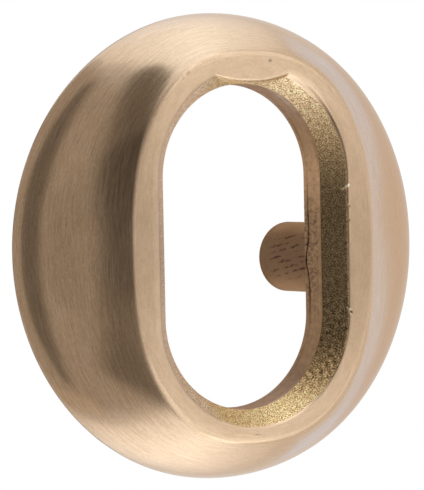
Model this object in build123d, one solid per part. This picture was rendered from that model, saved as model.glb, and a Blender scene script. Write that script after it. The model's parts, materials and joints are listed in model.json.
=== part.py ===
"""Lock cylinder collar: a one-piece brass casting that covers the hole in the door around an oval cylinder.

Frame, in millimetres: the origin is the centre of the round back edge, on the door plane. The front faces -Y,
+Y goes into the door, +Z is up along the long axis of the opening, and the posts stand out of the back to +Y.
"""

import math
import os

from build123d import *

# Body
BASE_DIAMETER = 58.0
DEPTH = 9.6  # door plane to the flat front
CROWN_START = 50.0  # where the dome's arc leaves the flat front, degrees of a quarter turn
DOME_SECTIONS = 7
SECTION_POINTS = 32
CREASE_RADIUS = 1.3  # between the flat front and the dome
BASE_EDGE_BREAK = 0.3

# Opening for the lock cylinder
HOLE_WIDTH = 22.9
HOLE_HEIGHT = 40.0
MOUTH_DEPTH = 2.7  # as-cast slope from the flat front to the straight wall
MOUTH_SIDE = 2.35  # how far the slope opens out at the sides
MOUTH_END = 2.1  # and at the top and bottom
MOUTH_EDGE_RADIUS = 0.18
WALL_LENGTH = 3.6  # straight wall behind the slope

# Flat front around the mouth
LAND_SIDE = 3.7  # its width at the sides
LAND_END = 1.8  # and at the top and bottom
LAND_FULLNESS = 2.45  # of its outer edge: 2 is an ellipse, more is squarer

# Nose: a lip at the top of the mouth that fills the slope almost down to the straight wall
NOSE_GAP = 0.15  # between its tip and the edge of the straight wall
NOSE_RADIUS = 17.6
NOSE_EDGE_RADIUS = 0.3
NOSE_OVERLAP = 0.5  # how far it reaches under the flat front

# Hollow back
RIM_WIDTH = 3.2  # flat edge that lies on the door
RECESS_DRAFT = 8.0  # degrees
RECESS_FLOOR_RADIUS = 1.2

# Screw posts
POST_DIAMETER = 9.0
POST_SPACING = 34.0
POST_DROP = 2.1  # below the centre of the opening
POST_REACH = 9.1  # past the door plane
POST_END_CHAMFER = 0.4
SCREW_HOLE_DIAMETER = 4.2  # tapping size for an M5 thread
SCREW_HOLE_DEPTH = 12.0
SCREW_HOLE_CHAMFER = 0.4
DRILL_POINT = 118.0  # degrees

BASE_RADIUS = BASE_DIAMETER / 2
MOUTH_WIDTH = HOLE_WIDTH + 2 * MOUTH_SIDE
MOUTH_HEIGHT = HOLE_HEIGHT + 2 * MOUTH_END
LAND_WIDTH = MOUTH_WIDTH + 2 * LAND_SIDE
LAND_HEIGHT = MOUTH_HEIGHT + 2 * LAND_END
FLOOR = DEPTH - MOUTH_DEPTH - WALL_LENGTH  # the recess floor, in front of the door plane


def level(height):
    """Sketch plane this far in front of the door plane: sketch X is +X, sketch Y is +Z."""
    return Plane.XZ.offset(height)


def signed_power(value, power):
    return math.copysign(abs(value) ** power, value)


def dome_section(turn):
    """Outline of the dome where its arc has turned this far: the front oval at the start, a circle at 90."""
    start = math.radians(CROWN_START)
    now = math.radians(turn)
    spread = (math.sin(now) - math.sin(start)) / (1 - math.sin(start))
    plane = level(DEPTH * math.cos(now) / math.cos(start))
    points = []
    for step in range(SECTION_POINTS):
        angle = math.tau * step / SECTION_POINTS
        across = math.cos(angle)
        up = math.sin(angle)
        land_x = LAND_WIDTH / 2 * signed_power(across, 2 / LAND_FULLNESS)
        land_z = LAND_HEIGHT / 2 * signed_power(up, 2 / LAND_FULLNESS)
        x = land_x + (BASE_RADIUS * across - land_x) * spread
        z = land_z + (BASE_RADIUS * up - land_z) * spread
        points.append(plane.from_local_coords(Vector(x, z, 0)))
    return Face(Wire([Edge.make_spline(points, periodic=True)]))


def base_edge_cut():
    """Ring with a 45 degree inner face that breaks the edge of the base, wider than the cut by a margin."""
    margin = 1.0
    with BuildSketch(Plane.XY) as half_section:
        Polygon(
            (BASE_RADIUS - BASE_EDGE_BREAK - margin, margin),
            (BASE_RADIUS + margin, margin),
            (BASE_RADIUS + margin, -BASE_EDGE_BREAK - margin),
            align=None,
        )
    return revolve(half_section.sketch, Axis.Y)


def dome():
    """Convex body between the front oval and the round base, with its front crease rounded."""
    turn_step = (90 - CROWN_START) / (DOME_SECTIONS - 1)
    solid = loft([dome_section(CROWN_START + turn_step * i) for i in range(DOME_SECTIONS)])
    front = solid.faces().filter_by(GeomType.PLANE).sort_by(Axis.Y)[0]
    return fillet(front.edges(), CREASE_RADIUS) - base_edge_cut()


def stadium(width, height, plane):
    return plane * SlotOverall(height, width, rotation=90)


def mouth():
    """Sloping part of the opening."""
    front_edge = stadium(MOUTH_WIDTH, MOUTH_HEIGHT, level(DEPTH))
    wall_edge = stadium(HOLE_WIDTH, HOLE_HEIGHT, level(DEPTH - MOUTH_DEPTH))
    return loft([front_edge, wall_edge])


def nose():
    """Piece of a round-edged disc that hangs into the top of the mouth and overlaps the front around it."""
    centre = Pos(0, HOLE_HEIGHT / 2 + NOSE_GAP + NOSE_RADIUS)
    disc = extrude(level(DEPTH) * centre * Circle(NOSE_RADIUS), amount=-MOUTH_DEPTH)
    disc = fillet(disc.faces().sort_by(Axis.Y)[0].edges(), NOSE_EDGE_RADIUS)
    reach = stadium(MOUTH_WIDTH + 2 * NOSE_OVERLAP, MOUTH_HEIGHT + 2 * NOSE_OVERLAP, level(DEPTH))
    return disc & extrude(reach, amount=-MOUTH_DEPTH)


def hole():
    return extrude(stadium(HOLE_WIDTH, HOLE_HEIGHT, level(DEPTH - MOUTH_DEPTH)), amount=-DEPTH)


def recess():
    """Hollow of the back, narrowing to its floor."""
    cut = extrude(level(0) * Circle(BASE_RADIUS - RIM_WIDTH), amount=FLOOR, taper=RECESS_DRAFT)
    floor = cut.faces().sort_by(Axis.Y)[0]
    return fillet(floor.edges(), RECESS_FLOOR_RADIUS)


def post(side):
    """Post from the recess floor out past the door plane."""
    shaft = extrude(level(FLOOR) * Circle(POST_DIAMETER / 2), amount=-(FLOOR + POST_REACH))
    shaft = chamfer(shaft.faces().sort_by(Axis.Y)[-1].edges(), POST_END_CHAMFER)
    return Pos(side * POST_SPACING / 2, 0, -POST_DROP) * shaft


def screw_hole(side):
    """Blind tapping hole from the post's end, with a drill point and a broken mouth."""
    radius = SCREW_HOLE_DIAMETER / 2
    outside = radius + SCREW_HOLE_CHAMFER
    bottom = POST_REACH - SCREW_HOLE_DEPTH
    tip = bottom - radius / math.tan(math.radians(DRILL_POINT / 2))
    with BuildSketch(Plane.XY) as half_section:
        Polygon(
            (0, POST_REACH),
            (outside, POST_REACH),
            (radius, POST_REACH - SCREW_HOLE_CHAMFER),
            (radius, bottom),
            (0, tip),
            align=None,
        )
    drill = revolve(half_section.sketch, Axis.Y)
    return Pos(side * POST_SPACING / 2, 0, -POST_DROP) * drill


collar = dome() - mouth() - hole() - recess()
front = collar.faces().filter_by(GeomType.PLANE).sort_by(Axis.Y)[0]
collar = fillet(front.inner_wires()[0].edges(), MOUTH_EDGE_RADIUS) + nose()
for side in (-1, 1):
    collar = collar + post(side) - screw_hole(side)

os.makedirs("parts", exist_ok=True)
export_step(collar, "parts/cylinder_collar.step")
print("volume", round(collar.volume), "valid", collar.is_valid, "solids", len(collar.solids()))
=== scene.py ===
"""Looks of a lock cylinder collar: one brass casting, brushed outside and as cast in its sloping mouth.

The mesh has the casting's own form. Stations run around the oval opening and rows run across the section, so
that brush marks, cast grain and wear follow the metal. Lengths are in millimetres until the mesh is made.
"""

import json
import math

import bpy
import numpy as np
from mathutils import Matrix, Vector


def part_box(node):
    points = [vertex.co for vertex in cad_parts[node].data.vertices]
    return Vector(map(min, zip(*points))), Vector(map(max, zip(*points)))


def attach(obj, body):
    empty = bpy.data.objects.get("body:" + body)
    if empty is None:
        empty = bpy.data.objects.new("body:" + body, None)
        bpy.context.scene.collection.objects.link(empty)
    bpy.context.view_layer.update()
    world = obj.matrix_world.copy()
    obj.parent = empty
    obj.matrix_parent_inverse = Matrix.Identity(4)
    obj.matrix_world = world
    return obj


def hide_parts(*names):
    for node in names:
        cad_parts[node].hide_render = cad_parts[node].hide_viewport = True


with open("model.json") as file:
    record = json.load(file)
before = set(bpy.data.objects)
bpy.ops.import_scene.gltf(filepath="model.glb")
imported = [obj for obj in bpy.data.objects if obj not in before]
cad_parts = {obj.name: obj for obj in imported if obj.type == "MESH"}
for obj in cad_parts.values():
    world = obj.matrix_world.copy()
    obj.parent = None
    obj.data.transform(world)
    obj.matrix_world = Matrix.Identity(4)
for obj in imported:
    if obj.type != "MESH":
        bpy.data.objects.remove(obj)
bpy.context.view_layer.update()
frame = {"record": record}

MM = 0.001

# Sizes taken from the frame
low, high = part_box("cylinder_collar")
screws = next(m for m in frame["record"]["mounts"] if m["name"] == "post_screws")
BASE_RADIUS = high.z / MM
DEPTH = -low.y / MM
POST_REACH = high.y / MM
POST_SPACING = screws["dims"]["spacing_x_mm"]
POST_HEIGHT = screws["pos_m"][2] / MM
SCREW_HOLE_RADIUS = screws["dims"]["hole_r_mm"]

# Sizes of the casting that the frame doesn't give
CROWN_START = 50.0  # where the dome's arc leaves the flat front, degrees of a quarter turn
CREASE_RADIUS = 1.3  # between the dome and the flat front, the land
CREASE_SPREAD = 1.8  # how far the rounding reaches on the land, times its reach on the dome
BASE_EDGE_BREAK = 0.3
HOLE_WIDTH = 22.9
HOLE_HEIGHT = 40.0
MOUTH_SIDE = 2.35  # how far the slope opens out at the sides
MOUTH_END = 2.1  # and at the top and bottom
MOUTH_DEPTH = 2.7
WALL_LENGTH = 3.6  # straight wall behind the slope
LAND_SIDE = 3.7  # width of the land at the sides
LAND_END = 1.8  # and at the top and bottom
LAND_FULLNESS = 2.45  # of its outer edge: 2 is an ellipse, more is squarer
NOSE_GAP = 0.15
NOSE_RADIUS = 17.6
RIM_WIDTH = 3.2  # flat edge that lies on the door
RECESS_DRAFT = 8.0  # degrees
RECESS_FLOOR_RADIUS = 1.2
POST_RADIUS = 4.5
POST_END_CHAMFER = 0.4
POST_ROOT_RADIUS = 0.5
SCREW_HOLE_DEPTH = 12.0
SCREW_HOLE_CHAMFER = 0.4
DRILL_POINT = 118.0  # degrees
THREAD_PITCH = 0.8
THREAD_DEPTH = 0.4

MOUTH_WIDTH = HOLE_WIDTH + 2 * MOUTH_SIDE
MOUTH_HEIGHT = HOLE_HEIGHT + 2 * MOUTH_END
LAND_WIDTH = MOUTH_WIDTH + 2 * LAND_SIDE
LAND_HEIGHT = MOUTH_HEIGHT + 2 * LAND_END
FLOOR_Y = -(DEPTH - MOUTH_DEPTH - WALL_LENGTH)

# Mesh
STATIONS = 880
FLANK_ROWS = 20
CREASE_ROWS = 9
LAND_ROWS = 8
MOUTH_ROWS = 40
RIM_MARGIN = 0.9  # of the land, joined to the slope's rows so that the rim is rounded
CORNER_ROW = 0.1  # from a sharp corner to the row that keeps it sharp
WALL_START = 0.12  # share of the wall that is in the mouth's rows
WALL_SHARES = (0.25, 0.4, 0.55)  # rows of the wall, as shares of its length
WALL_LAST = (0.2, 0.1, 0.04)  # its last rows, in front of its back edge
FLOOR_SHARES = (0.004, 0.02, 0.3, 0.6, 0.95)  # rows of the recess floor, from the wall outwards
FLOOR_CORNER_ROWS = 6
CRISP_ROUNDS = 3  # of softening, where the mouth's rim is as made
WORN_ROUNDS = 90  # and where it is worn


def signed_power(value, power):
    return np.copysign(np.abs(value) ** power, value)


def stations(count):
    """Places spaced evenly around the mouth's rim.

    Gives the way each one faces, in radians, and its place along the straight sides, from -1 to 1.
    """
    arc = math.pi * MOUTH_WIDTH / 2
    side = (MOUTH_HEIGHT - MOUTH_WIDTH) / 2
    knots = np.cumsum([0, side, arc, 2 * side, arc, side])
    place = knots[-1] * (np.arange(count) + 0.5) / count
    facing = np.interp(place, knots, [0, 0, math.pi, math.pi, math.tau, math.tau])
    slide = np.interp(place, knots, [0, 1, 1, -1, -1, 0])
    return facing, slide


FACING, SLIDE = stations(STATIONS)


def oval(width, height, y):
    """Straight-sided oval with round ends."""
    x = width / 2 * np.cos(FACING)
    z = (height - width) / 2 * SLIDE + width / 2 * np.sin(FACING)
    return np.stack([x, np.full(STATIONS, y), z], axis=1)


RIM = oval(MOUTH_WIDTH, MOUTH_HEIGHT, -DEPTH)
WALL_EDGE = oval(HOLE_WIDTH, HOLE_HEIGHT, -DEPTH + MOUTH_DEPTH)
WALL_BACK = oval(HOLE_WIDTH, HOLE_HEIGHT, FLOOR_Y)

# Angle on the dome's rings, chosen so that the land's outer edge lies straight out from each station
ANGLE = np.arctan2(
    signed_power(RIM[:, 2] / LAND_HEIGHT, LAND_FULLNESS / 2),
    signed_power(RIM[:, 0] / LAND_WIDTH, LAND_FULLNESS / 2),
)

PERIMETER = np.linalg.norm(np.roll(RIM, -1, axis=0) - RIM, axis=1).sum()


def circle(radius, y):
    return np.stack([radius * np.cos(ANGLE), np.broadcast_to(y, STATIONS), radius * np.sin(ANGLE)], axis=1)


def dome(turn):
    """Ring of the dome where its arc has turned this far, in radians: first the front oval, last the base."""
    start = math.radians(CROWN_START)
    spread = np.broadcast_to((np.sin(turn) - math.sin(start)) / (1 - math.sin(start)), STATIONS)[:, None]
    y = np.broadcast_to(-DEPTH * np.cos(turn) / math.cos(start), STATIONS)
    x = LAND_WIDTH / 2 * signed_power(np.cos(ANGLE), 2 / LAND_FULLNESS)
    z = LAND_HEIGHT / 2 * signed_power(np.sin(ANGLE), 2 / LAND_FULLNESS)
    land = np.stack([x, y, z], axis=1)
    return land + (circle(BASE_RADIUS, y) - land) * spread


def unit(vectors):
    return vectors / np.linalg.norm(vectors, axis=-1, keepdims=True)


def between(first, last, shares):
    return np.array([first + (last - first) * share for share in shares])


def soften(rows, rounds):
    """Rounds off the corners that lie between the first and last of these rows."""
    for _ in range(rounds):
        rows[1:-1] = (rows[:-2] + 2 * rows[1:-1] + rows[2:]) / 4
    return rows


def follow(corners, count):
    """Rows spaced evenly along the line through these rings."""
    corners = np.array(corners)
    steps = np.linalg.norm(np.diff(corners, axis=0), axis=2)
    reach = np.vstack([np.zeros(STATIONS), np.cumsum(steps, axis=0)])
    rows = np.empty((count, STATIONS, 3))
    for station in range(STATIONS):
        want = np.linspace(0, reach[-1, station], count)
        for axis in range(3):
            rows[:, station, axis] = np.interp(want, reach[:, station], corners[:, station, axis])
    return rows


def nose_share():
    """How much of the slope the nose covers at each station, from 0 to 1."""
    centre = np.array([0, HOLE_HEIGHT / 2 + NOSE_GAP + NOSE_RADIUS])
    start = RIM[:, [0, 2]] - centre
    step = (WALL_EDGE - RIM)[:, [0, 2]]
    a = (step**2).sum(axis=1)
    b = (start * step).sum(axis=1)
    c = (start**2).sum(axis=1) - NOSE_RADIUS**2
    crossing = (np.sqrt(np.maximum(b * b - a * c, 0)) - b) / a
    return np.where(c < 0, np.clip(crossing, 0, 1), 0)


def bell(distance, reach):
    """1 where there is no distance, falling off smoothly over the reach."""
    return np.exp(-((distance / reach) ** 2))


def relief(rows, spacing, wavelength, seed, spread=0.35):
    """Seeded random relief of this wavelength that closes on itself around the ring, mostly from -1 to 1."""
    source = np.random.default_rng(seed).standard_normal((rows, STATIONS))
    across = np.fft.fftfreq(rows, spacing)[:, None]
    along = np.fft.fftfreq(STATIONS, PERIMETER / STATIONS)[None, :]
    band = bell(np.hypot(across, along) * wavelength - 1, spread)
    field = np.fft.ifft2(np.fft.fft2(source) * band).real
    return field / (2 * field.std())


def relief_line(wavelength, seed):
    """One row of relief, for what changes only around the ring."""
    rows = 9
    return relief(rows, 1.0, wavelength, seed)[rows // 2]


def smoothstep(start, stop, value):
    """Smooth change from 0 at the start to 1 at the stop, whichever of the two is larger."""
    t = np.clip((value - start) / (stop - start), 0, 1)
    return t * t * (3 - 2 * t)


def around(middle, reach):
    """Share of a stretch around the mouth, 1 at its middle. Degrees start at the right-hand side."""
    turn = np.degrees(FACING) - middle
    return bell((turn + 180) % 360 - 180, reach)


def stretches(*parts):
    """Sum of stretches around the mouth, each with its strength, its middle and its reach."""
    return sum(strength * around(middle, reach) for strength, middle, reach in parts)


RIM_WEAR = stretches((1.0, 55, 15), (0.4, 25, 20), (0.3, -68, 26), (0.2, 90, 22), (0.6, 180, 60))
CREASE_WEAR = stretches((0.35, 235, 35), (0.4, 125, 20))
# Painted highlight: the slope's lip beside the nose is painted paler, where its brushed edge would look dark
LIP_PAINTED_LIGHT = around(44, 8)

# The wall's machining stops short of its back edge, along an uneven line
LINE_PLACE = 2.75  # from the wall's front edge
LINE_SWAY = 0.14
LINE_WAVELENGTH = 7.0
LINE_DIP = 0.5  # towards the back edge on the right side, a little below the middle
LINE_DIP_Z = -2.0
LINE_DIP_REACH = 1.7
LINE_ROWS = (-0.4, -0.2, -0.1, 0, 0.1, 0.2)  # from the line
sway = relief_line(LINE_WAVELENGTH, seed=11)
dip = bell(RIM[:, 2] - LINE_DIP_Z, LINE_DIP_REACH) * (RIM[:, 0] > 0)
PARTING_LINE = LINE_PLACE + LINE_SWAY * sway + LINE_DIP * dip

# Rows of the section, from the back rim over the dome and through the mouth to the recess


def back_rim_rows():
    """Flat edge that lies on the door."""
    inner = BASE_RADIUS - RIM_WIDTH
    outer = BASE_RADIUS - BASE_EDGE_BREAK
    radii = (inner, inner + CORNER_ROW, (inner + outer) / 2, outer - CORNER_ROW, outer)
    return np.array([circle(radius, 0) for radius in radii])


def front_rows():
    """Dome from its base edge to the crease, the rounded crease, and the land up to the mouth's margin."""
    start = math.radians(CROWN_START)
    base = math.acos(BASE_EDGE_BREAK * math.cos(start) / DEPTH)
    edge = dome(start)
    inward = unit(RIM - edge)
    small_turn = 0.01
    outward = dome(start + small_turn) - edge
    speed = np.linalg.norm(outward, axis=1) / small_turn
    bend = np.arccos(-(inward * unit(outward)).sum(axis=1))
    reach = CREASE_RADIUS * np.tan(bend / 2)
    foot_turn = start + reach / speed
    flank = [dome(base + (foot_turn - base) * share) for share in np.linspace(0, 1, FLANK_ROWS)]
    foot = flank[-1]
    head = edge + inward * ((CREASE_SPREAD + CREASE_WEAR) * reach)[:, None]
    shares = np.linspace(0, 1, CREASE_ROWS)[1:]
    crease = [foot * (1 - t) ** 2 + edge * 2 * t * (1 - t) + head * t**2 for t in shares]
    margin = RIM - inward * RIM_MARGIN
    land = between(head, margin, np.arange(1, LAND_ROWS) / LAND_ROWS)
    return np.concatenate([flank, crease, land]), margin


def mouth_rows(margin):
    """Land's margin, rim, nose, slope and the start of the wall. Where the rim is worn it is rounder."""
    share = nose_share()[:, None]
    nose_edge = RIM + (WALL_EDGE - RIM) * share
    nose_foot = nose_edge.copy()
    nose_edge[:, 1] = -DEPTH
    wall_start = WALL_EDGE + (WALL_BACK - WALL_EDGE) * WALL_START
    rows = follow([margin, RIM, nose_edge, nose_foot, WALL_EDGE, wall_start], MOUTH_ROWS)
    crisp = soften(rows.copy(), CRISP_ROUNDS)
    worn = soften(rows.copy(), WORN_ROUNDS)
    return crisp + (worn - crisp) * RIM_WEAR[:, None]


def wall_rows():
    """Straight wall, with rows close together at the uneven line where its machining ends."""
    rows = list(between(WALL_EDGE, WALL_BACK, WALL_SHARES))
    for offset in LINE_ROWS:
        share = ((PARTING_LINE + offset) / WALL_LENGTH)[:, None]
        rows.append(WALL_EDGE + (WALL_BACK - WALL_EDGE) * share)
    for left in WALL_LAST:
        rows.append(WALL_BACK - [0, left, 0])
    return np.array(rows)


def recess_rows():
    """Recess floor from the hole outwards, its rounded corner and its sloping wall, back to the rim."""
    draft = math.radians(RECESS_DRAFT)
    wall_foot = BASE_RADIUS - RIM_WIDTH + FLOOR_Y * math.tan(draft)
    tangent = RECESS_FLOOR_RADIUS * math.tan(math.radians(90 - RECESS_DRAFT) / 2)
    centre = wall_foot - tangent
    floor = between(WALL_BACK, circle(centre, FLOOR_Y), FLOOR_SHARES)
    angles = np.linspace(-math.pi / 2, -draft, FLOOR_CORNER_ROWS)
    corner = [
        circle(
            centre + RECESS_FLOOR_RADIUS * math.cos(angle),
            FLOOR_Y + RECESS_FLOOR_RADIUS * (1 + math.sin(angle)),
        )
        for angle in angles
    ]
    wall = [circle(BASE_RADIUS - RIM_WIDTH - CORNER_ROW * math.tan(draft), -CORNER_ROW)]
    return np.concatenate([floor, corner, wall])


front, margin_ring = front_rows()
groups = {
    "back_rim": back_rim_rows(),
    "front": front,
    "mouth": mouth_rows(margin_ring),
    "wall": wall_rows(),
    "recess": recess_rows(),
}
ROW = {}
count = 0
for name, rows in groups.items():
    ROW[name] = slice(count, count + len(rows))
    count += len(rows)
points = np.concatenate(list(groups.values()))


def normals(grid):
    """Out of the metal."""
    along = np.roll(grid, -1, axis=1) - np.roll(grid, 1, axis=1)
    across = np.roll(grid, -1, axis=0) - np.roll(grid, 1, axis=0)
    return unit(np.cross(along, across))


# Relief on the surface, in millimetres along its normal
GRAIN_HEIGHT = 0.008
GRAIN_ROW = 0.12  # spacing of the slope's rows
GRAIN_FINE = 0.34  # wavelength
GRAIN_COARSE = 1.0  # wavelength, at half the height
SWELL_HEIGHT = 0.012
SWELL_ROW = 0.8  # spacing of the front's rows
SWELL_WAVELENGTH = 11.0
SWELL_SUNK = 2  # times its height, which keeps the swell inside the casting
SWELL_AT_BASE = (0, 0.3, 0.7)  # share of the swell on the first rows
CAST_HEIGHT = 0.03
CAST_ROW = 2.0  # spacing of the recess's rows
CAST_WAVELENGTH = 9.0
WIDE_BAND = 0.5  # of wavelengths, for the swell and the cast floor
GROOVE_DEPTH = 0.09
GROOVE_REACH = 0.13  # to each side of the line
GROOVE_LEAST = 0.1  # least share of its depth
GROOVE_SHARE = 0.3  # usual share
GROOVE_SWAY = 0.25
GROOVE_WAVELENGTH = 9.0
GROOVE_Z = -1  # where it is deepest
GROOVE_Z_REACH = 6
GROOVE_PAINTED_SHADE = 0.85  # painted shade in the groove: share of the brightness that is lost where it is deepest

# As-cast skin of the slope. A pair is where a change starts and where it is complete.
SKIN_WORN = 0.42  # how much deeper the skin starts where the rim is worn
SKIN_EDGE = (0.02, 0.2)  # depth of its grain's start
SKIN_TINT_EDGE = (0, 0.25)  # depth of its tint's start
SKIN_FOOT = (MOUTH_DEPTH - 0.1, MOUTH_DEPTH - 0.01)
SKIN_GRAINY = (-7.5, -4.5)  # x: further left it is rubbed smooth
SKIN_RUBBED = (-4, -8)  # x of the rubbed side's tint
SKIN_TONE = 1.3
RIGHT_PAINTED_SHADE = 0.93  # painted shade: how much darker than that the middle of the right side is
RIGHT_SHADE_HIGH = (17.5, 4.5)  # z of its upper end
RIGHT_SHADE_LOW = (-20, -11)  # and of its lower end
LOW_END = (-16, -20)  # z of the bottom end, which has painted light that makes it paler
LOW_END_PAINTED_LIGHT = 0.15
SPECKS = 0.1  # how much the grain shows in the tint, darker in its pits: partly oxide, partly painted shade
SPECKS_LOW = 0.6  # and how much more at the lower end of the painted shade
SPECKS_Z = (-5, -10)
SPECKS_RANGE = (0.2, 2)  # of the tint, with the grain in it
TOP_Z = (8, 18)  # z of the shades at both ends
BOTTOM_Z = (-8, -18)
LIP_START = (0.05, 0.2)  # depth of the painted highlight on the lip beside the nose
LIP_STOP = (0.6, 0.3)
LIP_PAINTED_LEVEL = 0.7

# What is added to red, green and blue
TOP_SHADE = np.array([0.03, 0.03, 0.1])
BOTTOM_SHADE = np.array([0, -0.06, -0.14])
RUBBED_SHADE = np.array([0.02, 0.12, 0.52])
RUBBED_TOP_SHADE = np.array([0.12, 0.08, 0.06])

# Tint of the wall
WALL_EDGE_DEPTH = (MOUTH_DEPTH - 0.02, MOUTH_DEPTH + 0.02)
WALL_TONE = 0.97
WALL_BRIGHT = 0.5  # brighter, in a stretch a little above the middle
WALL_BRIGHT_Z = 8.5
WALL_BRIGHT_REACH = 3.5
WALL_ENDS = (12, 19)  # distance of its darker ends from the middle
WALL_ENDS_SHADE = np.array([-0.28, -0.24, -0.08])
STAIN_Z = -1  # middle of its stain
STAIN_REACH = 7

PALE_CUT_GLINT = np.array([1.0, 1.15, 1.4])  # tint of freshly cut metal, which the bright marks raise into a painted glint

MARKS_DEPTH = 1.5  # how far behind the front its marks can reach

# Small marks on the front: both ends as x and z, the radius, the depth (raised below 0) and the brightness,
# which above 1 is a painted glint
MARKS = [
    ((2.56, 22.78), (2.62, 22.8), 0.16, 0.08, 0.35),
    ((-9.5, 21.2), (-9.2, 21.4), 0.13, 0.015, 0.6),
    ((-10.1, 20.7), (-10.0, 20.75), 0.11, 0.01, 0.7),
    ((13.9, -8.5), (14.0, -8.6), 0.17, 0.15, 0.2),
    ((13.65, -8.15), (13.75, -8.3), 0.15, -0.08, 1.5),
    ((13.35, 6.75), (13.95, 7.3), 0.1, -0.05, 3.5),
    ((13.93, 4.65), (13.93, 4.7), 0.12, 0.08, 0.35),
    ((13.89, 2.9), (13.89, 2.95), 0.12, 0.08, 0.35),
    ((11.2, 19.6), (11.7, 18.95), 0.1, 0.02, 0.8),
]


def mark_shares(grid, first, last, radius):
    """Share of a mark on each point, 1 along its middle line."""
    first, last = np.array(first), np.array(last)
    place = grid[:, :, [0, 2]]
    line = last - first
    along = np.clip(((place - first) @ line) / (line @ line), 0, 1)
    away = np.linalg.norm(place - first - along[:, :, None] * line, axis=2)
    return bell(away, radius)


def wall_tint(z):
    """The wall is brighter a little above the middle and darker at its ends."""
    ends = smoothstep(*WALL_ENDS, np.abs(z))[:, :, None]
    tone = WALL_TONE + WALL_BRIGHT * bell(z - WALL_BRIGHT_Z, WALL_BRIGHT_REACH)
    return tone[:, :, None] * (1 + ends * WALL_ENDS_SHADE)


def mouth_grain(mouth):
    """Grain of the as-cast skin, from the rim to the foot of the slope."""
    depth = mouth[:, :, 1] + DEPTH
    skin = smoothstep(*SKIN_EDGE, depth - SKIN_WORN * RIM_WEAR) * (1 - smoothstep(*SKIN_FOOT, depth))
    skin = skin * smoothstep(*SKIN_GRAINY, mouth[:, :, 0])
    fine = relief(len(mouth), GRAIN_ROW, GRAIN_FINE, seed=3)
    coarse = relief(len(mouth), GRAIN_ROW, GRAIN_COARSE, seed=4)
    return skin * (fine + coarse / 2)


def mouth_tint(mouth, grain):
    """Painted shade on the middle of the right side, painted light at the bottom end and on the lip beside
    the nose, the rubbed left side and the start of the wall.
    """
    depth = mouth[:, :, 1] + DEPTH
    x = mouth[:, :, 0]
    z = mouth[:, :, 2]
    low_end = smoothstep(*LOW_END, z)
    # Painted shade darkens the middle of the right side; painted light makes the bottom end paler
    right_shade = smoothstep(*RIGHT_SHADE_HIGH, z) * smoothstep(*RIGHT_SHADE_LOW, z) * (x > 0)
    specks = SPECKS + SPECKS_LOW * smoothstep(*SPECKS_Z, z) * (1 - low_end) * (x > 0)
    tone = SKIN_TONE - RIGHT_PAINTED_SHADE * right_shade + LOW_END_PAINTED_LIGHT * low_end
    tone = tone * np.clip(1 + specks * grain, *SPECKS_RANGE)
    top = smoothstep(*TOP_Z, z)[:, :, None]
    bottom = smoothstep(*BOTTOM_Z, z)[:, :, None]
    rubbed = smoothstep(*SKIN_RUBBED, x)[:, :, None]
    shade = top * TOP_SHADE + bottom * BOTTOM_SHADE + rubbed * (RUBBED_SHADE + top * RUBBED_TOP_SHADE)
    on_skin = smoothstep(*SKIN_TINT_EDGE, depth - SKIN_WORN * RIM_WEAR)[:, :, None]
    tint = 1 + (tone[:, :, None] * (1 + shade) - 1) * on_skin
    on_wall = smoothstep(*WALL_EDGE_DEPTH, depth)[:, :, None]
    tint += on_wall * (wall_tint(z) - tint)
    # Painted highlight on the lip beside the nose
    lip = LIP_PAINTED_LIGHT * smoothstep(*LIP_START, depth) * smoothstep(*LIP_STOP, depth)
    return tint * (1 + LIP_PAINTED_LEVEL * lip[:, :, None])


def front_lift(rows):
    """Swell of hand finishing on the dome, which ends on the crease and at the base."""
    share = np.ones(rows)
    share[: len(SWELL_AT_BASE)] = SWELL_AT_BASE
    share[FLANK_ROWS:] = np.clip(1 - np.arange(rows - FLANK_ROWS) / CREASE_ROWS, 0, 1)
    swell = relief(rows, SWELL_ROW, SWELL_WAVELENGTH, seed=5, spread=WIDE_BAND)
    return SWELL_HEIGHT * (swell - SWELL_SUNK) * share[:, None]


def groove_shares():
    """How deep the wall's groove is at each station."""
    sway = GROOVE_SWAY * relief_line(GROOVE_WAVELENGTH, seed=12)
    return np.clip(GROOVE_SHARE + sway + bell(RIM[:, 2] - GROOVE_Z, GROOVE_Z_REACH), GROOVE_LEAST, 1)


def recess_lift(rows):
    """Slow waves of the cast floor, with the edges of the recess left as they are."""
    lift = CAST_HEIGHT * relief(rows, CAST_ROW, CAST_WAVELENGTH, seed=6, spread=WIDE_BAND)
    lift[:2] = 0
    lift[-1] = 0
    return lift


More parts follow.
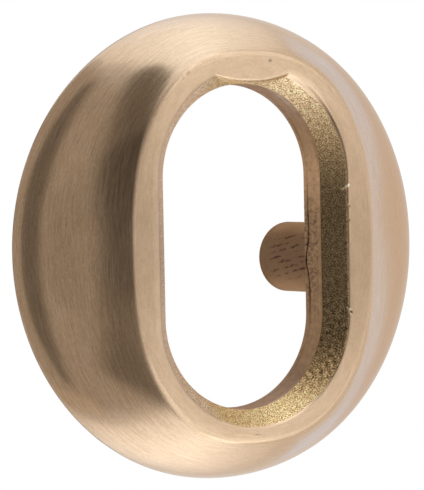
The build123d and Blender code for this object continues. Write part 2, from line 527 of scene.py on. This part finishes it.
def weather(grid):
    """Lifts the points by cast grain, the swell of hand finishing, the wall's groove and small marks.

    Also gives the grain, which on the wall is how stained it is, and a tint, which holds painted light and
    shade as well as the metal's own tones. The materials read both.
    """
    lift = np.zeros(grid.shape[:2])
    grain = np.zeros(grid.shape[:2])
    tint = np.ones(grid.shape)
    mouth = grid[ROW["mouth"]]
    grain[ROW["mouth"]] = mouth_grain(mouth)
    tint[ROW["mouth"]] = mouth_tint(mouth, grain[ROW["mouth"]])
    lift[ROW["mouth"]] = GRAIN_HEIGHT * grain[ROW["mouth"]]
    wall_z = grid[ROW["wall"], :, 2]
    grain[ROW["wall"]] = bell(wall_z - STAIN_Z, STAIN_REACH)
    tint[ROW["wall"]] = wall_tint(wall_z)
    lift[ROW["front"]] = front_lift(len(grid[ROW["front"]]))
    groove = groove_shares()
    for row, offset in enumerate(LINE_ROWS, start=ROW["wall"].start + len(WALL_SHARES)):
        share = groove * bell(offset, GROOVE_REACH)
        lift[row] = -GROOVE_DEPTH * share
        # Painted shade in the groove
        tint[row] *= 1 - GROOVE_PAINTED_SHADE * share[:, None]
    lift[ROW["recess"]] = recess_lift(len(grid[ROW["recess"]]))
    for first, last, radius, deep, bright in MARKS:
        share = mark_shares(grid, first, last, radius) * (grid[:, :, 1] < -DEPTH + MARKS_DEPTH)
        lift -= deep * share
        # Marks brighter than 1 are painted glints on freshly cut metal
        tone = bright * PALE_CUT_GLINT if bright > 1 else bright * np.ones(3)
        tint *= 1 + (tone - 1) * share[:, :, None]
    grid = grid + normals(grid) * lift[:, :, None]
    grid[:, :, 1] = np.maximum(grid[:, :, 1], -DEPTH)
    return grid, grain, tint


points, grain, tint = weather(points)


def ring_faces(rows, columns, closed):
    """Quads of a grid that closes around, and also across where closed says so."""
    k, j = np.meshgrid(np.arange(rows if closed else rows - 1), np.arange(columns), indexing="ij")
    after = (j + 1) % columns
    below = (k + 1) % rows
    corners = [k * columns + j, k * columns + after, below * columns + after, below * columns + j]
    return np.stack(corners, axis=-1).reshape(-1, 4)


BRUSHED, LAND, SLOPE, WALL, CAST, POST = range(6)

# Where one finish meets the next
SANDED_FROM = 5  # row of the crease where the land's finish starts
ROLLED_DEPTH = 0.05  # below the land, where the rim's brushed edge starts
ROLLED_DEPTH_TOP = 0.01  # in the top half, beside the nose
ROLLED_LEFT = -5.5  # x: further left the rim has the land's finish
SKIN_DEPTH = 0.06  # below the land, where the as-cast skin starts
SKIN_DEPTH_WORN = 0.55  # how much deeper that is where the rim is worn


def ring_materials(grid):
    """Material of each quad: by its rows, and in the mouth also by its depth."""
    kinds = np.full(grid.shape[:2], BRUSHED)
    kinds[ROW["front"].start + FLANK_ROWS + SANDED_FROM : ROW["front"].stop] = LAND
    mouth = grid[ROW["mouth"]]
    depth = mouth[:, :, 1] + DEPTH
    deep = (depth + np.roll(depth, -1, axis=0)) / 2
    top = (mouth[:, :, 2] > 0) & (nose_share() == 0)
    rolled = (deep > np.where(top, ROLLED_DEPTH_TOP, ROLLED_DEPTH)) & (mouth[:, :, 0] > ROLLED_LEFT)
    rim = np.where(rolled, BRUSHED, LAND)
    slope = np.where(deep > SKIN_DEPTH + SKIN_DEPTH_WORN * RIM_WEAR, SLOPE, rim)
    kinds[ROW["mouth"]] = np.where(deep > MOUTH_DEPTH, WALL, slope)
    kinds[ROW["mouth"].stop - 1] = WALL
    kinds[ROW["wall"]] = WALL
    kinds[ROW["recess"]] = CAST
    return kinds.reshape(-1)


# Screw posts
POST_COLUMNS = 48
POST_ROOT_ROWS = 5
POST_ROWS = 10
POST_ROWS_START = 1.0  # from the recess floor to the first row above the root
POST_SUNK = 1.9  # of the post, inside the casting
POST_AXIS = 0.01  # radius of the first and the last row, which are capped
SCREW_HOLE_BORDER = 0.3  # from the hole's mouth to the next row
THREAD_TURNS = 8
THREAD_ROWS = 5  # in each turn


def post_ring(radius, y):
    """Radius and place of each point in one row."""
    return np.stack([np.broadcast_to(radius, POST_COLUMNS), np.full(POST_COLUMNS, y)], axis=1)


def post_grid(side):
    """Post as rows around its own axis, from its root over its end to the bottom of its tapped hole."""
    turn = -math.tau * np.arange(POST_COLUMNS) / POST_COLUMNS
    foot = FLOOR_Y - POST_SUNK
    profile = [(POST_AXIS, foot), (POST_RADIUS + POST_ROOT_RADIUS, foot)]
    for angle in np.linspace(0, math.pi / 2, POST_ROOT_ROWS):
        out = POST_ROOT_RADIUS * (1 - math.sin(angle))
        up = POST_ROOT_RADIUS * (1 - math.cos(angle))
        profile.append((POST_RADIUS + out, FLOOR_Y + up))
    shaft = np.linspace(FLOOR_Y + POST_ROWS_START, POST_REACH - POST_END_CHAMFER, POST_ROWS)
    profile += [(POST_RADIUS, y) for y in shaft]
    mouth = SCREW_HOLE_RADIUS + SCREW_HOLE_CHAMFER
    end_radii = (POST_RADIUS - POST_END_CHAMFER, mouth + SCREW_HOLE_BORDER, mouth)
    profile += [(radius, POST_REACH) for radius in end_radii]
    rows = [post_ring(radius, y) for radius, y in profile]
    thread_start = POST_REACH - SCREW_HOLE_CHAMFER
    for step in range(THREAD_TURNS * THREAD_ROWS + 1):
        phase = (step / THREAD_ROWS - turn / math.tau) % 1
        cut = THREAD_DEPTH * (1 - np.abs(2 * phase - 1))
        rows.append(post_ring(SCREW_HOLE_RADIUS + cut, thread_start - THREAD_PITCH * step / THREAD_ROWS))
    bottom = POST_REACH - SCREW_HOLE_DEPTH
    tip = bottom - SCREW_HOLE_RADIUS / math.tan(math.radians(DRILL_POINT / 2))
    rows = np.array(rows + [post_ring(SCREW_HOLE_RADIUS, bottom), post_ring(POST_AXIS, tip)])
    x = side * POST_SPACING / 2 + rows[:, :, 0] * np.cos(turn)
    z = POST_HEIGHT + rows[:, :, 0] * np.sin(turn)
    return np.stack([x, rows[:, :, 1], z], axis=2)


def brush_coordinates(grid):
    """For each point, its place on a unit circle around the ring and its distance across the section."""
    rows, columns = grid.shape[:2]
    turn = math.tau * np.arange(columns) / columns
    steps = np.linalg.norm(np.diff(grid, axis=0), axis=2).mean(axis=1)
    across = np.concatenate([[0], np.cumsum(steps)])[:, None]
    parts = (np.cos(turn), np.sin(turn), across)
    return np.stack([np.broadcast_to(part, (rows, columns)) for part in parts], axis=2)


def store(mesh, name, kind, key, values):
    """Keeps a value on each point of the mesh, for the materials to read."""
    attribute = mesh.attributes.new(name, kind, "POINT")
    attribute.data.foreach_set(key, values.astype(np.float32).ravel())


def build_collar():
    """One mesh of the ring and its two posts."""
    grids = [points] + [post_grid(side) for side in (-1, 1)]
    faces = ring_faces(*points.shape[:2], closed=True).tolist()
    kinds = ring_materials(points).tolist()
    start = grain.size
    for grid in grids[1:]:
        rows, columns = grid.shape[:2]
        end = start + rows * columns
        faces += (ring_faces(rows, columns, closed=False) + start).tolist()
        faces += [range(start + columns - 1, start - 1, -1), range(end - columns, end)]
        kinds += [POST] * ((rows - 1) * columns + 2)
        start = end
    mesh = bpy.data.meshes.new("collar")
    place = np.concatenate([grid.reshape(-1, 3) for grid in grids]) * MM
    mesh.from_pydata(place.tolist(), [], faces)
    mesh.polygons.foreach_set("material_index", kinds)
    mesh.polygons.foreach_set("use_smooth", np.ones(len(mesh.polygons), bool))
    brush = np.concatenate([brush_coordinates(grid).reshape(-1, 3) for grid in grids])
    height = np.zeros(len(place))
    height[: grain.size] = grain.ravel()
    colour = np.ones((len(place), 4))
    colour[: grain.size, :3] = tint.reshape(-1, 3)
    store(mesh, "brush", "FLOAT_VECTOR", "vector", brush)
    store(mesh, "grain", "FLOAT", "value", height)
    store(mesh, "tint", "FLOAT_COLOR", "color", colour)
    mesh.update()
    collar = bpy.data.objects.new("collar", mesh)
    bpy.context.scene.collection.objects.link(collar)
    return collar


# Materials


class Nodes:
    """Short way to add and join the nodes of one material."""

    def __init__(self, name):
        self.material = bpy.data.materials.new(name)
        self.material.use_nodes = True
        self.tree = self.material.node_tree
        self.shader = self.tree.nodes["Principled BSDF"]

    def add(self, kind, **settings):
        node = self.tree.nodes.new(kind)
        for key, value in settings.items():
            setattr(node, key, value)
        return node

    def join(self, source, target):
        self.tree.links.new(source, target)

    def attribute(self, name):
        return self.add("ShaderNodeAttribute", attribute_name=name)

    def noise(self, vector, stretch, detail=3.0, roughness=0.5):
        """Noise on a vector that is first stretched along its axes."""
        scaled = self.add("ShaderNodeVectorMath", operation="MULTIPLY")
        scaled.inputs[1].default_value = stretch
        self.join(vector, scaled.inputs[0])
        noise = self.add("ShaderNodeTexNoise")
        noise.inputs["Scale"].default_value = 1.0
        noise.inputs["Detail"].default_value = detail
        noise.inputs["Roughness"].default_value = roughness
        self.join(scaled.outputs[0], noise.inputs["Vector"])
        return noise.outputs["Fac"]

    def ramp(self, value, stops):
        ramp = self.add("ShaderNodeValToRGB")
        elements = ramp.color_ramp.elements
        while len(elements) < len(stops):
            elements.new(0.5)
        for element, (position, colour) in zip(elements, stops):
            element.position = position
            element.color = (*colour, 1)
        self.join(value, ramp.inputs[0])
        return ramp.outputs["Color"]

    def spread(self, value, source, target):
        """Maps the value from one range to another."""
        node = self.add("ShaderNodeMapRange")
        for key, number in zip(("From Min", "From Max", "To Min", "To Max"), (*source, *target)):
            node.inputs[key].default_value = number
        self.join(value, node.inputs["Value"])
        return node.outputs["Result"]

    def sum(self, first, second, share):
        """First plus share times the second."""
        node = self.add("ShaderNodeMath", operation="MULTIPLY_ADD")
        node.inputs[1].default_value = share
        self.join(second, node.inputs[0])
        self.join(first, node.inputs[2])
        return node.outputs[0]

    def times(self, first, second):
        node = self.add("ShaderNodeMath", operation="MULTIPLY")
        self.join(first, node.inputs[0])
        self.join(second, node.inputs[1])
        return node.outputs[0]

    def bump(self, height, distance, strength=1.0):
        node = self.add("ShaderNodeBump")
        node.inputs["Strength"].default_value = strength
        node.inputs["Distance"].default_value = distance * MM
        self.join(height, node.inputs["Height"])
        self.join(node.outputs[0], self.shader.inputs["Normal"])

    def finish(self, colour, roughness, edge=(1, 1, 1)):
        """Metal of this colour, times the tint stored on the mesh. Edge is its colour at a glancing angle."""
        tinted = self.add("ShaderNodeVectorMath", operation="MULTIPLY")
        self.join(colour, tinted.inputs[0])
        self.join(self.attribute("tint").outputs["Color"], tinted.inputs[1])
        self.shader.inputs["Metallic"].default_value = 1.0
        self.shader.inputs["Specular Tint"].default_value = (*edge, 1)
        self.join(tinted.outputs[0], self.shader.inputs["Base Color"])
        self.join(roughness, self.shader.inputs["Roughness"])
        return self.material

    def brush_along(self, amount):
        """Longer highlights across the brush marks, which run round the opening's axis."""
        tangent = self.add("ShaderNodeTangent", direction_type="RADIAL", axis="Y")
        self.join(tangent.outputs[0], self.shader.inputs["Tangent"])
        self.shader.inputs["Anisotropic"].default_value = amount
        self.shader.inputs["Anisotropic Rotation"].default_value = 0.25


def brushed_brass():
    """Fine marks along the brushing, clearer on the left side, which is less polished than the right one."""
    nodes = Nodes("brushed_brass")
    place = nodes.add("ShaderNodeSeparateXYZ")
    nodes.join(nodes.add("ShaderNodeTexCoord").outputs["Object"], place.inputs[0])
    clearness = nodes.spread(place.outputs["X"], (-20 * MM, 20 * MM), (1.6, 0.55))
    brush = nodes.attribute("brush").outputs["Vector"]
    hair = nodes.noise(brush, (5, 5, 40), detail=0)
    fine = nodes.noise(brush, (52, 52, 13), detail=4)
    broad = nodes.noise(brush, (9, 9, 6.5), detail=3)
    streak = nodes.sum(nodes.spread(broad, (0, 1), (-0.5, 0)), fine, 0.5)
    streak = nodes.spread(nodes.times(streak, clearness), (-0.5, 0.5), (0, 1))
    colour = nodes.ramp(
        streak, [(0.14, (0.43, 0.286, 0.164)), (0.5, (0.58, 0.405, 0.26)), (0.86, (0.73, 0.525, 0.356))]
    )
    nodes.bump(fine, 0.0003)
    nodes.brush_along(0.5)
    return nodes.finish(colour, nodes.spread(hair, (0.3, 0.7), (0.17, 0.25)), (0.92, 0.9, 0.89))


def sanded_brass():
    """Shorter and duller marks than the brushing, and a faint mottle."""
    nodes = Nodes("sanded_brass")
    place = nodes.add("ShaderNodeTexCoord").outputs["Object"]
    brush = nodes.attribute("brush").outputs["Vector"]
    fine = nodes.noise(brush, (16, 16, 14), detail=4)
    mottle = nodes.noise(place, (3600, 3600, 3600), detail=3)
    broad = nodes.noise(brush, (8, 8, 1), detail=3)
    streak = nodes.sum(nodes.spread(broad, (0, 1), (-0.05, 0.25)), fine, 0.55)
    streak = nodes.sum(streak, mottle, 0.25)
    colour = nodes.ramp(streak, [(0.38, (0.53, 0.363, 0.227)), (0.62, (0.64, 0.452, 0.294))])
    nodes.bump(mottle, 0.0015)
    nodes.brush_along(0.8)
    return nodes.finish(colour, nodes.spread(fine, (0.3, 0.7), (0.34, 0.4)))


DULL_EDGE = (0.6, 0.44, 0.33)


def as_cast_brass():
    """Grainy skin of the casting, darker in its pits, partly oxide and partly painted shade, with bright
    specks that are partly painted glints.
    """
    nodes = Nodes("as_cast_brass")
    place = nodes.add("ShaderNodeTexCoord").outputs["Object"]
    height = nodes.attribute("grain").outputs["Fac"]
    fine = nodes.noise(place, (7200, 7200, 7200), detail=2)
    specks = nodes.spread(fine, (0.37, 0.63), (0, 1))
    # Raised grain paler and pits darker, partly oxide and partly painted shade; the specks are partly painted
    # glints
    mixed = nodes.sum(nodes.spread(height, (-1, 1), (0, 0.3)), specks, 0.7)
    colour = nodes.ramp(
        mixed, [(0.1, (0.235, 0.15, 0.067)), (0.5, (0.57, 0.4, 0.208)), (0.9, (0.925, 0.705, 0.42))]
    )
    nodes.bump(fine, 0.02)
    return nodes.finish(colour, nodes.spread(fine, (0.3, 0.7), (0.56, 0.44)), DULL_EDGE)


def machined_brass():
    """Straight wall, with faint lines along it and purple-brown stains."""
    nodes = Nodes("machined_brass")
    place = nodes.add("ShaderNodeTexCoord").outputs["Object"]
    stained = nodes.attribute("grain").outputs["Fac"]
    tone = nodes.noise(place, (900, 1100, 1400), detail=6, roughness=0.75)
    lines = nodes.noise(place, (900, 2400, 140), detail=3)
    blotch = nodes.noise(place, (2200, 1300, 2600), detail=4, roughness=0.7)
    stain = nodes.times(stained, nodes.spread(blotch, (0.44, 0.6), (0, 1)))
    mixed = nodes.sum(nodes.spread(tone, (0.3, 0.7), (0.2, 0.7)), lines, 0.35)
    mixed = nodes.sum(mixed, stain, -0.5)
    colour = nodes.ramp(
        mixed, [(0.1, (0.2, 0.125, 0.1)), (0.5, (0.47, 0.31, 0.19)), (0.9, (0.62, 0.42, 0.26))]
    )
    nodes.bump(lines, 0.004)
    return nodes.finish(colour, nodes.spread(tone, (0.3, 0.7), (0.5, 0.4)), DULL_EDGE)


def cast_brass():
    """Rough skin inside the hollow back."""
    nodes = Nodes("cast_brass")
    place = nodes.add("ShaderNodeTexCoord").outputs["Object"]
    fine = nodes.noise(place, (1900, 1900, 1900), detail=4, roughness=0.6)
    tone = nodes.noise(place, (180, 180, 180), detail=3)
    mixed = nodes.sum(nodes.spread(fine, (0.3, 0.7), (0, 0.6)), tone, 0.5)
    colour = nodes.ramp(mixed, [(0.3, (0.3, 0.2, 0.11)), (0.8, (0.56, 0.4, 0.23))])
    nodes.bump(fine, 0.06)
    return nodes.finish(colour, nodes.spread(tone, (0.3, 0.7), (0.42, 0.55)), DULL_EDGE)


def post_brass_stain_and_shade():
    """Brown skin of the posts, stained and painted darker as shade inside the collar, with slanting rows of
    dark marks around their middle, short of their ends.
    """
    nodes = Nodes("post_brass_stain_and_shade")
    place = nodes.add("ShaderNodeTexCoord").outputs["Object"]
    fine = nodes.noise(place, (3600, 3600, 3600), detail=4, roughness=0.65)
    tone = nodes.noise(place, (160, 160, 160), detail=3)
    patch = nodes.noise(place, (600, 600, 1300), detail=3)
    slant = nodes.add("ShaderNodeMapping")
    slant.inputs["Rotation"].default_value = (math.radians(10), 0, 0)
    nodes.join(place, slant.inputs["Vector"])
    rows = nodes.add("ShaderNodeTexWave", bands_direction="Z")
    rows.inputs["Scale"].default_value = 410
    rows.inputs["Distortion"].default_value = 3
    rows.inputs["Detail"].default_value = 4
    rows.inputs["Detail Scale"].default_value = 2.5
    nodes.join(slant.outputs[0], rows.inputs["Vector"])
    line = nodes.spread(rows.outputs["Fac"], (0.55, 0.95), (0, 1))
    height = nodes.add("ShaderNodeSeparateXYZ")
    nodes.join(place, height.inputs[0])
    marked = nodes.times(
        nodes.spread(height.outputs["Z"], (-5.2 * MM, -4.2 * MM), (0, 1)),
        nodes.spread(height.outputs["Z"], (1.4 * MM, 0.4 * MM), (0, 1)),
    )
    marked = nodes.times(marked, nodes.spread(height.outputs["Y"], (6.8 * MM, 5.0 * MM), (0, 1)))
    marks = nodes.times(nodes.times(line, marked), nodes.spread(patch, (0.45, 0.6), (0, 1)))
    skin = nodes.sum(nodes.spread(tone, (0.3, 0.7), (0.45, 0.75)), fine, 0.6)
    mixed = nodes.sum(skin, marks, -0.7)
    # Stained brass darkened further by painted shade, as the posts sit in the collar's shadow
    colour = nodes.ramp(
        mixed, [(0.25, (0.13, 0.075, 0.063)), (0.75, (0.27, 0.172, 0.108)), (1.0, (0.35, 0.228, 0.146))]
    )
    nodes.bump(fine, 0.008)
    return nodes.finish(colour, nodes.spread(fine, (0.3, 0.7), (0.42, 0.52)), DULL_EDGE)


collar = build_collar()
finishes = [
    brushed_brass(),
    sanded_brass(),
    as_cast_brass(),
    machined_brass(),
    cast_brass(),
    post_brass_stain_and_shade(),
]
for finish in finishes:
    collar.data.materials.append(finish)
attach(collar, "root")
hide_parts("cylinder_collar")

# Camera: turned to the left of the collar's axis and a little above it. Angles are in degrees.
CAMERA_AZIMUTH = 32.679
CAMERA_ELEVATION = 1.859
CAMERA_ROLL = 1.147
CAMERA_DISTANCE = 402.33  # from what it aims at
TARGET_RIGHT = -5.416  # of the middle of the front, as the camera sees it
TARGET_UP = 0.364
LENS = 241.6
SENSOR = 36.0


def add_camera():
    azimuth, elevation, roll = (math.radians(a) for a in (CAMERA_AZIMUTH, CAMERA_ELEVATION, CAMERA_ROLL))
    back = Vector((
        -math.sin(azimuth) * math.cos(elevation),
        -math.cos(azimuth) * math.cos(elevation),
        math.sin(elevation),
    ))
    right = Vector((math.cos(azimuth), -math.sin(azimuth), 0))
    up = back.cross(right)
    target = Vector((0, -DEPTH, 0)) + right * TARGET_RIGHT + up * TARGET_UP
    axes = (right * math.cos(roll) - up * math.sin(roll), right * math.sin(roll) + up * math.cos(roll), back)
    camera = bpy.data.objects.new("camera", bpy.data.cameras.new("camera"))
    bpy.context.scene.collection.objects.link(camera)
    camera.data.lens = LENS
    camera.data.sensor_width = SENSOR
    camera.data.clip_start = 0.01
    place = Matrix.Translation((target + back * CAMERA_DISTANCE) * MM)
    camera.matrix_world = place @ Matrix(axes).transposed().to_4x4()
    bpy.context.scene.camera = camera


# Studio, in metres: a white surround, and glowing or dim discs and cards that only reflections show
WHITE_SEEN = 1.0
FILL = 0.8


def add_world():
    """White to the camera and in reflections, and a softer fill for everything else."""
    world = bpy.data.worlds.new("surround")
    bpy.context.scene.world = world
    world.use_nodes = True
    tree = world.node_tree
    seen = tree.nodes["Background"]
    seen.inputs["Strength"].default_value = WHITE_SEEN
    seen.inputs["Color"].default_value = (1, 1, 1, 1)
    fill = tree.nodes.new("ShaderNodeBackground")
    fill.inputs["Color"].default_value = (1, 1, 1, 1)
    fill.inputs["Strength"].default_value = FILL
    path = tree.nodes.new("ShaderNodeLightPath")
    total = path.outputs["Is Camera Ray"]
    for name in ("Is Glossy Ray", "Is Transmission Ray"):
        add = tree.nodes.new("ShaderNodeMath")
        add.use_clamp = True
        tree.links.new(total, add.inputs[0])
        tree.links.new(path.outputs[name], add.inputs[1])
        total = add.outputs[0]
    mix = tree.nodes.new("ShaderNodeMixShader")
    tree.links.new(total, mix.inputs[0])
    tree.links.new(fill.outputs[0], mix.inputs[1])
    tree.links.new(seen.outputs[0], mix.inputs[2])
    tree.links.new(mix.outputs[0], tree.nodes["World Output"].inputs["Surface"])


def add_soft_lamp(name, place, aim, size, energy):
    """Soft area lamp for what isn't metal. The metal shows the glowing cards instead."""
    lamp = bpy.data.lights.new(name, "AREA")
    lamp.shape = "RECTANGLE"
    lamp.size, lamp.size_y = size
    lamp.energy = energy
    holder = bpy.data.objects.new(name, lamp)
    bpy.context.scene.collection.objects.link(holder)
    holder.location = place
    holder.rotation_euler = (Vector(aim) - Vector(place)).to_track_quat("-Z", "Y").to_euler()
    holder.visible_camera = False
    holder.visible_glossy = False


def add_shown_in_reflections(name, corners, faces, level, colour, fade=None):
    """Glowing or dark surface that only reflections show.

    Fade names what it fades along, its x or its radius, and where that leaves it clear and where solid.
    """
    mesh = bpy.data.meshes.new(name)
    mesh.from_pydata(corners, [], faces)
    card = bpy.data.objects.new(name, mesh)
    bpy.context.scene.collection.objects.link(card)
    nodes = Nodes(name)
    glow = nodes.add("ShaderNodeEmission")
    glow.inputs["Color"].default_value = (*colour, 1)
    glow.inputs["Strength"].default_value = level
    shown = glow.outputs[0]
    if fade:
        along, clear, solid = fade
        place = nodes.add("ShaderNodeTexCoord").outputs["Object"]
        if along == "radius":
            measure = nodes.add("ShaderNodeVectorMath", operation="LENGTH")
        else:
            measure = nodes.add("ShaderNodeSeparateXYZ")
        nodes.join(place, measure.inputs[0])
        reach = measure.outputs["Value" if along == "radius" else "X"]
        mix = nodes.add("ShaderNodeMixShader")
        nodes.join(nodes.spread(reach, (clear, solid), (0, 1)), mix.inputs[0])
        nodes.join(nodes.add("ShaderNodeBsdfTransparent").outputs[0], mix.inputs[1])
        nodes.join(shown, mix.inputs[2])
        shown = mix.outputs[0]
    nodes.join(shown, nodes.tree.nodes["Material Output"].inputs["Surface"])
    mesh.materials.append(nodes.material)
    card.visible_camera = False
    card.visible_diffuse = False
    card.visible_shadow = False
    return card


def add_level_disc(name, middle, radii, turn, level, colour):
    """Level oval disc over or under the collar, brightest in its middle."""
    sides = 64
    corners = [(math.cos(math.tau * i / sides), math.sin(math.tau * i / sides), 0) for i in range(sides)]
    card = add_shown_in_reflections(name, corners, [range(sides)], level, colour, ("radius", 1, 0.1))
    card.location = middle
    card.rotation_euler.z = math.radians(turn)
    card.scale = (*radii, 1)


def add_side_card(name, x, edge, level, colour):
    """Upright card beside the collar. Its edge is given as y and z."""
    add_shown_in_reflections(name, [(x, y, z) for y, z in edge], [range(len(edge))], level, colour)


def add_front_card(name, y, edge, level, colour, fade=None):
    """Upright card in front of the collar or behind it. Its edge is given as x and z."""
    add_shown_in_reflections(name, [(x, y, z) for x, z in edge], [range(len(edge))], level, colour, fade)


def add_floor():
    """Pale round floor well below the collar, which is held in the air as on a door."""
    mesh = bpy.data.meshes.new("floor")
    radius, height, sides = 0.6, -0.5, 96
    turn = [math.tau * i / sides for i in range(sides)]
    mesh.from_pydata([(radius * math.cos(a), radius * math.sin(a), height) for a in turn], [], [range(sides)])
    floor = bpy.data.objects.new("floor", mesh)
    bpy.context.scene.collection.objects.link(floor)
    paint = bpy.data.materials.new("floor")
    paint.use_nodes = True
    paint.node_tree.nodes["Principled BSDF"].inputs["Base Color"].default_value = (0.9, 0.9, 0.9, 1)
    paint.node_tree.nodes["Principled BSDF"].inputs["Roughness"].default_value = 0.9
    mesh.materials.append(paint)
    floor.visible_glossy = False


WARM = (1.0, 0.92, 0.82)
PALE_WARM = (1.0, 0.95, 0.9)
COOL = (1.0, 1.06, 1.12)

# Edges of the cards: y and z beside the collar, x and z in front of it and behind it
LEFT_WALL = [
    (-1.0, -1.3), (-1.0, -0.9), (-0.46, -0.45), (-0.82, -0.23), (-1.08, -0.03), (-0.78, 0.17), (-0.62, 0.41),
    (-0.51, 0.86), (-0.34, 1.52), (-0.2, 2.0), (2.2, 2.0), (2.2, -1.3),
]
LEFT_GAP = [
    (0.04, -0.48), (-0.12, -0.2), (-0.165, 0), (-0.14, 0.17), (-0.06, 0.39), (0.14, 0.9),
    (0.4, 0.9), (0.21, 0.4), (0.14, 0.16), (0.09, 0), (0.12, -0.2), (0.13, -0.46),
]
LEFT_LOW = [(-0.05, -0.6), (0.7, -0.6), (0.7, -0.85), (-0.05, -0.85)]
LEFT_FLAG = [
    (-0.18, 0.348), (-0.1, 0.348), (-0.045, 0.201), (-0.036, 0.137), (-0.043, 0.094), (-0.048, 0.07),
    (-0.051, 0.056), (-0.06, 0.046), (-0.094, 0.047), (-0.116, 0.062), (-0.14, 0.08), (-0.155, 0.11),
    (-0.175, 0.15), (-0.19, 0.221),
]
LEFT_DIM = [(-0.62, -0.15), (-0.25, -0.15), (-0.25, 0.15), (-0.62, 0.15)]
BACK_LEFT = [(-1.5, 0.3), (0.03, 0.3), (0.03, 0.95), (-0.1, 1.3), (-0.3, 1.8), (-1.5, 1.8)]
BACK_LOW = [(-1.5, -0.3), (0.05, -0.3), (0.1, -0.9), (-0.05, -1.4), (-1.5, -1.6)]
FRONT_GAP = [(-2.2, -0.15), (0.9, -0.15), (0.9, 0.5), (-2.2, 0.5)]
FRONT_MID = [(-2.2, 0.5), (0.6, 0.5), (0.6, 1.1), (-2.2, 1.1)]
FRONT_HIGH = [(-2.2, 1.1), (0, 1.1), (-0.1, 1.9), (-0.4, 3.0), (-2.2, 3.2)]
FRONT_LOW = [(-2.2, -1.6), (-0.36, -1.28), (0.3, -1.0), (0.8, -1.0), (0.8, -0.15), (-2.2, -0.15)]
RIGHT_TOP = [
    (-0.3, 0), (-0.24, 0.12), (0, 0.3), (0.09, 0.54), (0.36, 0.54), (0.28, 0.28), (0.1, 0.15), (-0.12, 0),
]
RIGHT_LOW = [
    (-0.3, 0), (-0.12, 0), (0.1, -0.2), (0.33, -0.33), (0.57, -0.55), (0.2, -0.55), (0.14, -0.34),
    (-0.17, -0.1),
]
RIGHT_WALL = [(-0.12, 0), (0.1, 0.15), (0.28, 0.28), (0.9, 0.3), (0.9, -0.3), (0.33, -0.33), (0.1, -0.2)]
FRONT_TOP = [(0.32, 0.2), (1.1, 0.2), (1.1, 1.2), (0.17, 1.2), (0.19, 0.6), (0.24, 0.46)]
UNDER_GLINT = [(0.34, -0.7), (0.85, -0.7), (0.95, -2.3), (0.44, -2.3)]
TOP_GLINT = [(0.25, 0.43), (0.36, 0.4), (0.36, 0.75), (0.75, 0.75), (0.9, 2.3), (0.4, 2.3), (0.25, 0.95)]
FRONT_UNDER = [(0.15, -0.18), (1.1, -0.18), (1.1, -1.2), (0.15, -1.2)]

add_camera()
add_world()
add_floor()
add_soft_lamp("key_lamp", place=(0.5, -0.6, 1.2), aim=(0, 0, 0), size=(0.8, 0.8), energy=12)
add_level_disc(
    "top_light", middle=(0.13, 0, 0.5), radii=(0.36, 1.05), turn=-15, level=1.66, colour=(1.0, 1.12, 1.27)
)
add_level_disc(
    "under_light", middle=(0.054, 0, -0.45), radii=(0.29, 0.8), turn=0, level=1.84, colour=(1.0, 1.09, 1.2)
)
add_side_card("left_wall", -0.4, LEFT_WALL, 0.51, PALE_WARM)
add_side_card("left_dim", -0.395, LEFT_DIM, 0.41, PALE_WARM)
add_side_card("left_gap", -0.38, LEFT_GAP, 0.2, PALE_WARM)
add_side_card("left_low", -0.39, LEFT_LOW, 0.66, WARM)
add_side_card("left_flag", -0.05, LEFT_FLAG, 0.17, WARM)
add_side_card("right_top", 0.6, RIGHT_TOP, 1.03, (1.0, 1.16, 1.5))
add_side_card("right_low", 0.6, RIGHT_LOW, 1.05, (1.0, 1.18, 1.55))
add_side_card("right_wall", 0.6, RIGHT_WALL, 0.93, (1.0, 0.93, 0.87))
add_front_card("back_left", 1.0, BACK_LEFT, 0.5, WARM)
add_front_card("back_low", 1.0, BACK_LOW, 0.72, WARM)
add_front_card("front_gap", -1.2, FRONT_GAP, 0.07, WARM, ("x", 0.62, -0.2))
add_front_card("front_mid", -1.2, FRONT_MID, 0.18, WARM, ("x", 0.4, -0.35))
add_front_card("front_high", -1.2, FRONT_HIGH, 0.3, WARM, ("x", -0.1, -0.5))
add_front_card("front_low", -1.2, FRONT_LOW, 0.19, WARM, ("x", 0.6, -0.35))
add_front_card("front_top", -1.0, FRONT_TOP, 1.4, COOL)
add_front_card("front_under", -1.0, FRONT_UNDER, 1.45, COOL)
add_front_card("under_glint", -0.98, UNDER_GLINT, 2.2, COOL)
add_front_card("top_glint", -0.98, TOP_GLINT, 1.75, COOL)

scene = bpy.context.scene
scene.view_settings.view_transform = "Standard"
